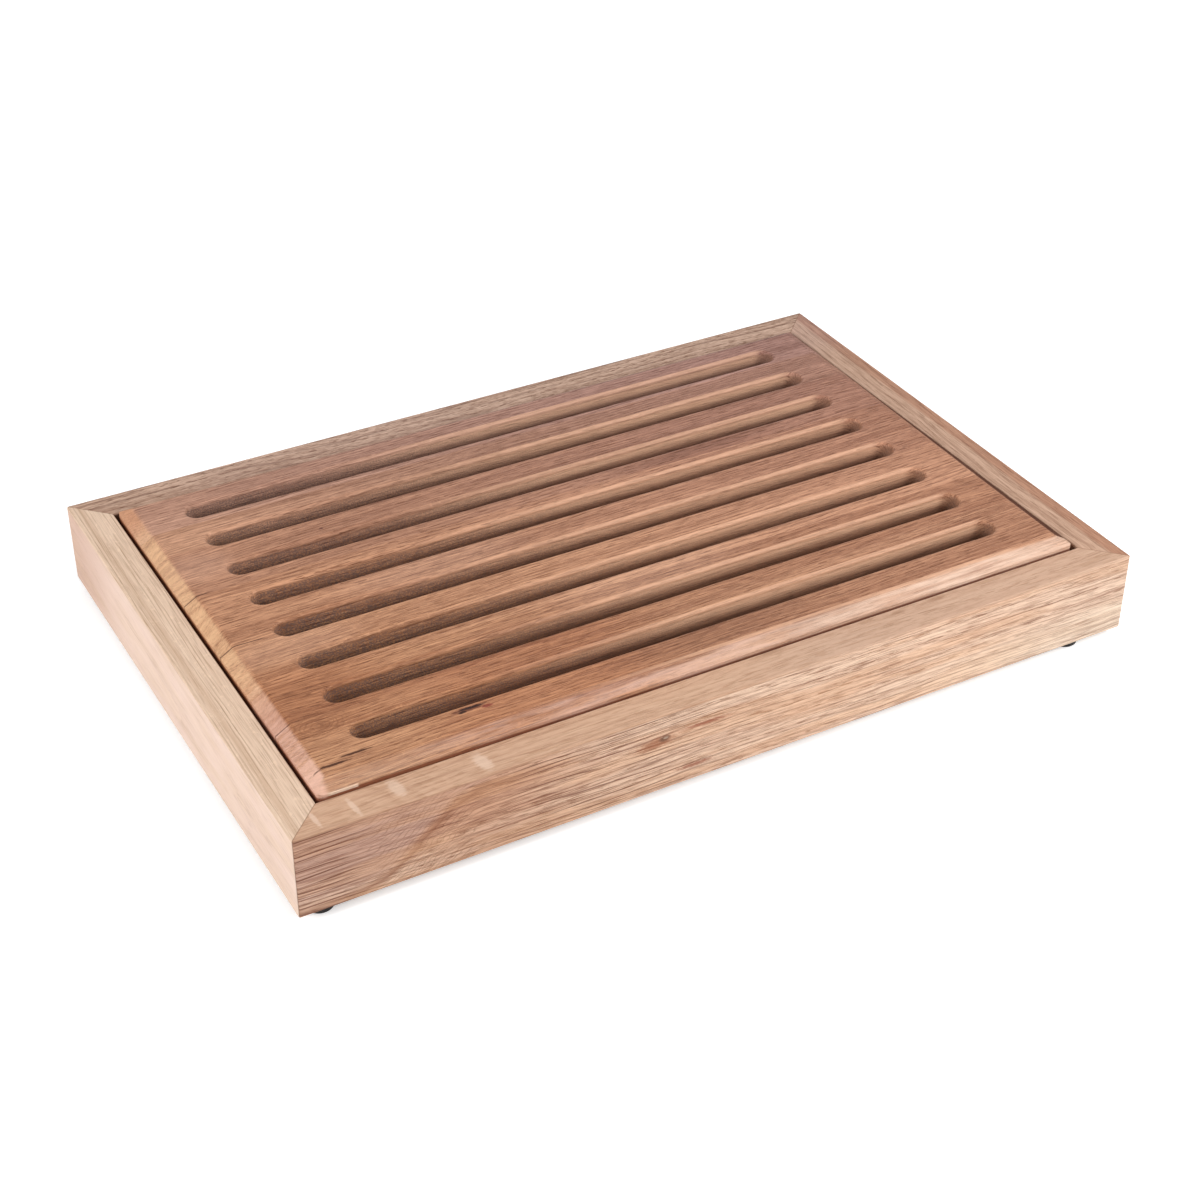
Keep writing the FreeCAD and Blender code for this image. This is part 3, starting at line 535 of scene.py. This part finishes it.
    # A painted highlight along the far rims of the slots in the right half.
    rim_start, rim_end = (slot_half_width - 0.1) / slot_pitch, (slot_half_width + 1.7) / slot_pitch
    far_rim_highlight = oak.band(behind_slot, rim_start, rim_end, 0.01)
    oak.tint(far_rim_highlight * (1 - routed) * oak.step(oak.up, 54, 55.5) * right * 0.5, paint(232, 184, 152))

    for left_end, right_end, reach in open_glue_lines:
        slope = (right_end - left_end) / board_length
        off = abs(oak.y - oak.x * slope - (left_end + slope * board_end))
        crack = oak.fall(off, 0.15, 0.55) * oak.fall(oak.x, reach - 3, reach)
        oak.tint(crack * 0.85, paint(70, 42, 30))

    # Blemishes of single staves: checks, a dark knot and a splinter in the first, a burr across
    # the first and second, a dot in the fifth, and a paler end to the sixth.
    if node == "stave_1":
        for place, size, color in blemishes:
            oak.tint(oak.spot(oak.x, oak.y, place, size, 1.2, 0.35) * 0.9, paint(*color))
        splinter = oak.band(oak.x, -217, -198, 0.6) * oak.band(oak.up, 51.0, 52.6, 0.2) * front
        oak.tint(splinter * 0.95, paint(255, 226, 200))
    if node in ("stave_1", "stave_2"):
        aside = (oak.x - burr_x) / 1.5
        back = oak.y - burr_y
        curl = (aside * aside + back * back) ** 0.5
        rings = curl / 1.7 + oak.noise(oak.place, (5, 4, 4), (2, 2, 2)) * 2.4
        burr = oak.fall(curl, 7, 12) * (1 - below_top) * 0.4
        oak.tint(burr * oak.band(rings.fraction(), 0.3, 0.6, 0.12), paint(118, 72, 46))
    if node == "stave_2":
        oak.tint(bevel * left * 0.35, paint(196, 146, 124))
    if node == "stave_5":
        dot = oak.spot(oak.x, oak.y, (-129.6, 63.5), (1.2, 0.8), 0.8, 0.4)
        oak.tint(dot * 0.8, paint(92, 44, 36))
    if node == "stave_6":
        oak.tint(oak.fall(oak.x, -200, -150) * (1 - bevel) * 0.6, paint(80, 62, 46), "ADD")
    lay_on(node, oak.done())


# Studio
# A white paper sweep on the ground, a bright tent all round, and soft lamps left, right and
# overhead with a faint card behind. To the eye of the camera paper and tent run out to white.

sweep_mesh = bpy.data.meshes.new("sweep")
sweep_mesh.from_pydata([(-4, -4, 0), (4, -4, 0), (4, 4, 0), (-4, 4, 0)], [], [(0, 1, 2, 3)])
sweep = bpy.data.objects.new("sweep", sweep_mesh)
bpy.context.scene.collection.objects.link(sweep)
paper = Finish("white_paper")
paper_seen = paper.add("ShaderNodeLightPath", {}, {}, "Is Camera Ray")
paper_color = paper.blend(paper_seen, (0.62, 0.61, 0.60, 1), (1, 1, 1, 1))
paper_place = paper.add("ShaderNodeTexCoord", {}, {}, "Object")
metres_away = paper.add("ShaderNodeVectorMath", {"operation": "LENGTH"}, {0: paper_place}, "Value")
distant_glow = paper.blend(paper.step(metres_away, 0.7, 1.8), (0.30, 0.30, 0.30, 1), (0.70, 0.70, 0.70, 1))
paper_glow = paper.blend(paper_seen, (0, 0, 0, 1), distant_glow)
paper.wear(Base_Color=paper_color, Roughness=0.9, Specular_IOR_Level=0.0, Emission_Color=paper_glow,
           Emission_Strength=1.0)
sweep_mesh.materials.append(paper.material)

tent_world = bpy.data.worlds.new("tent")
tent_world.use_nodes = True
bpy.context.scene.world = tent_world
tent = Tree(tent_world.node_tree)
tent.nodes.remove(tent.nodes["Background"])
tent_seen = tent.add("ShaderNodeLightPath", {}, {}, "Is Camera Ray")
tent_light = tent.add("ShaderNodeBackground", {}, {"Color": (0.98, 0.99, 1.0, 1), "Strength": 0.36})
tent_white = tent.add("ShaderNodeBackground", {}, {"Color": (1, 1, 1, 1), "Strength": 1.0})
tent_choice = tent.add("ShaderNodeMixShader", {}, {0: tent_seen, 1: tent_light, 2: tent_white})
tent.feed(tent.nodes["World Output"].inputs["Surface"], tent_choice)


def hang_lamp(name, place, aim, width, depth, watts, tint=(1, 1, 1)):
    lamp = bpy.data.lights.new(name, "AREA")
    lamp.shape = "RECTANGLE"
    lamp.size = width
    lamp.size_y = depth
    lamp.energy = watts
    lamp.color = tint
    hung = bpy.data.objects.new(name, lamp)
    hung.location = place
    hung.rotation_euler = (Vector(aim) - Vector(place)).to_track_quat("-Z", "Y").to_euler()
    hung.visible_camera = False
    bpy.context.scene.collection.objects.link(hung)


hang_lamp("box_left", (-1.3, 0.0, 0.6), (0, 0, 0), 0.9, 0.8, 13.5)
hang_lamp("box_front", (0.62, -0.85, 0.66), (0.05, -0.1, 0), 0.6, 0.5, 10)
hang_lamp("box_overhead", (0.9, -0.3, 1.3), (0.1, -0.1, 0), 0.7, 0.7, 5)
hang_lamp("card_back", (0.8, 1.5, 0.8), (0.1, 0.1, 0), 0.8, 0.6, 3, (0.9, 0.95, 1.0))


# Camera
# It stands in front of the board and to its left, and looks down at it from where the
# photograph was taken.

camera_place = Vector((-0.48789, -0.88525, 0.70197))
camera_bearing = math.radians(29.163)
camera_dip = math.radians(34.564)
camera_roll = math.radians(0.188)
camera_data = bpy.data.cameras.new("camera")
camera_data.sensor_width = 36
camera_data.lens = 66.74
camera = bpy.data.objects.new("camera", camera_data)
camera.matrix_world = (Matrix.Translation(camera_place)
                       @ Matrix.Rotation(-camera_bearing, 4, "Z")
                       @ Matrix.Rotation(math.pi / 2 - camera_dip, 4, "X")
                       @ Matrix.Rotation(camera_roll, 4, "Z"))
bpy.context.scene.collection.objects.link(camera)
bpy.context.scene.camera = camera
bpy.context.scene.view_settings.view_transform = "Standard"
